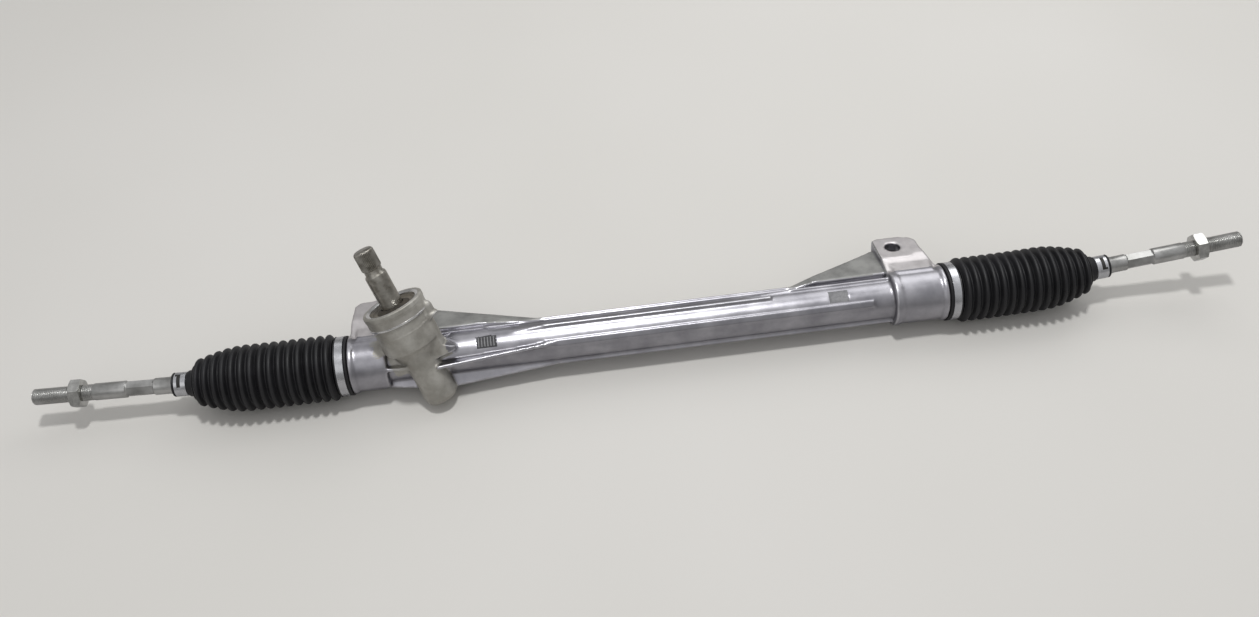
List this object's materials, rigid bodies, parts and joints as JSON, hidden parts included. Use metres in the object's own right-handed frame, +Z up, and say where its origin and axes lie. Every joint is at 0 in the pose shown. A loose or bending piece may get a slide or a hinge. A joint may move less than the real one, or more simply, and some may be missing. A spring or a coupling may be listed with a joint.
{
  "type": "rack and pinion steering gear",
  "caption": "Manual rack-and-pinion steering gear: ribbed cast housing with mounting ears, tilted serrated input shaft, bellows boots and threaded tie rods with lock nuts.",
  "frame": {"origin": "centre of the whole part's box, on the floor it rests on", "axes": "+X along the rack to the right of the viewer, +Y to the back where the ears point, +Z up"},
  "size_m": [1.0451, 0.1016, 0.1315],
  "materials": {
    "housing_cast": "die-cast, satin, machined at the seats",
    "rack_steel": "ground and induction hardened, light grease",
    "pinion_steel": "oiled dark steel",
    "bearing_steel": "ground bearing steel",
    "bush_bronze": "sintered bronze",
    "seal_rubber": "moulded nitrile, matt",
    "spring_steel": "dark spring steel",
    "guide_alloy": "machined",
    "pad_plastic": "filled acetal, natural",
    "joint_steel": "forged and turned",
    "rod_steel": "zinc plated, dull",
    "nut_steel": "bright zinc plated",
    "boot_rubber": "black thermoplastic rubber, semi-matt",
    "clamp_steel": "stainless strip"
  },
  "bodies": {
    "housing": {"gear_housing": "housing_cast", "bearing_outer_race": "bearing_steel", "lower_bush": "bush_bronze", "bearing_lock_ring": "spring_steel", "pinion_seal": "seal_rubber", "seal_clip": "spring_steel", "rack_guide": "guide_alloy", "guide_pad": "pad_plastic", "guide_o_ring": "seal_rubber", "guide_spring": "spring_steel", "guide_plug": "guide_alloy", "guide_lock_nut": "nut_steel", "rack_bush": "pad_plastic", "boot_left": "boot_rubber", "boot_right": "boot_rubber", "large_clamp_left": "clamp_steel", "large_clamp_right": "clamp_steel"},
    "rack": {"rack_bar": "rack_steel", "inner_joint_socket_left": "joint_steel", "inner_joint_socket_right": "joint_steel", "lock_washer_left": "nut_steel", "lock_washer_right": "nut_steel"},
    "pinion": {"pinion_shaft": "pinion_steel", "bearing_inner_race": "bearing_steel"},
    "bearing_roller_set": {"bearing_rollers": "bearing_steel"},
    "ball_seat_left": {"ball_seat_left": "pad_plastic"},
    "tie_rod_left": {"tie_rod_left": "rod_steel", "small_clamp_left": "clamp_steel"},
    "lock_nut_left": {"lock_nut_left": "nut_steel"},
    "ball_seat_right": {"ball_seat_right": "pad_plastic"},
    "tie_rod_right": {"tie_rod_right": "rod_steel", "small_clamp_right": "clamp_steel"},
    "lock_nut_right": {"lock_nut_right": "nut_steel"}
  },
  "joints": [
    {"name": "rack_slide", "type": "slide", "parent": "housing", "child": "rack", "axis": [1, 0, 0], "range_m": [-0.06, 0.06], "deforming": ["boot_left", "boot_right"]},
    {"name": "pinion_spin", "type": "hinge", "parent": "housing", "child": "pinion", "pos_m": [-0.20365, -0.01068, 0.05926], "axis": [-0.309, 0.4611, 0.8318], "range_deg": [-469.07, 469.07]},
    {"name": "roller_set_spin", "type": "hinge", "parent": "housing", "child": "bearing_roller_set", "pos_m": [-0.20365, -0.01068, 0.05926], "axis": [-0.309, 0.4611, 0.8318], "range_deg": [-197.87, 197.87]},
    {"name": "tie_rod_yaw_left", "type": "hinge", "parent": "rack", "child": "ball_seat_left", "pos_m": [-0.345, -0.0103, 0.0286], "axis": [0, 0, 1], "range_deg": [-14.2, 17.8], "deforming": ["boot_left"]},
    {"name": "tie_rod_pitch_left", "type": "hinge", "parent": "ball_seat_left", "child": "tie_rod_left", "pos_m": [-0.345, -0.0103, 0.0286], "axis": [0.0314, 0.9995, 0], "range_deg": [-17, 15], "deforming": ["boot_left"]},
    {"name": "lock_nut_turn_left", "type": "hinge", "parent": "tie_rod_left", "child": "lock_nut_left", "pos_m": [-0.48661, -0.00585, 0.03107], "axis": [-0.9994, 0.0314, 0.0175], "range_deg": [-180, 180]},
    {"name": "tie_rod_yaw_right", "type": "hinge", "parent": "rack", "child": "ball_seat_right", "pos_m": [0.345, -0.0103, 0.0286], "axis": [0, 0, 1], "range_deg": [-15.4, 16.6], "deforming": ["boot_right"]},
    {"name": "tie_rod_pitch_right", "type": "hinge", "parent": "ball_seat_right", "child": "tie_rod_right", "pos_m": [0.345, -0.0103, 0.0286], "axis": [-0.0105, -0.9999, 0], "range_deg": [-24, 8], "deforming": ["boot_right"]},
    {"name": "lock_nut_turn_right", "type": "hinge", "parent": "tie_rod_right", "child": "lock_nut_right", "pos_m": [0.48531, -0.01177, 0.04832], "axis": [0.9902, -0.0104, 0.1392], "range_deg": [-180, 180]}
  ],
  "couplings": [
    {"joint": "pinion_spin", "follows": "rack_slide", "rad_per_m": -135.87},
    {"joint": "roller_set_spin", "follows": "rack_slide", "rad_per_m": -56.976}
  ]
}
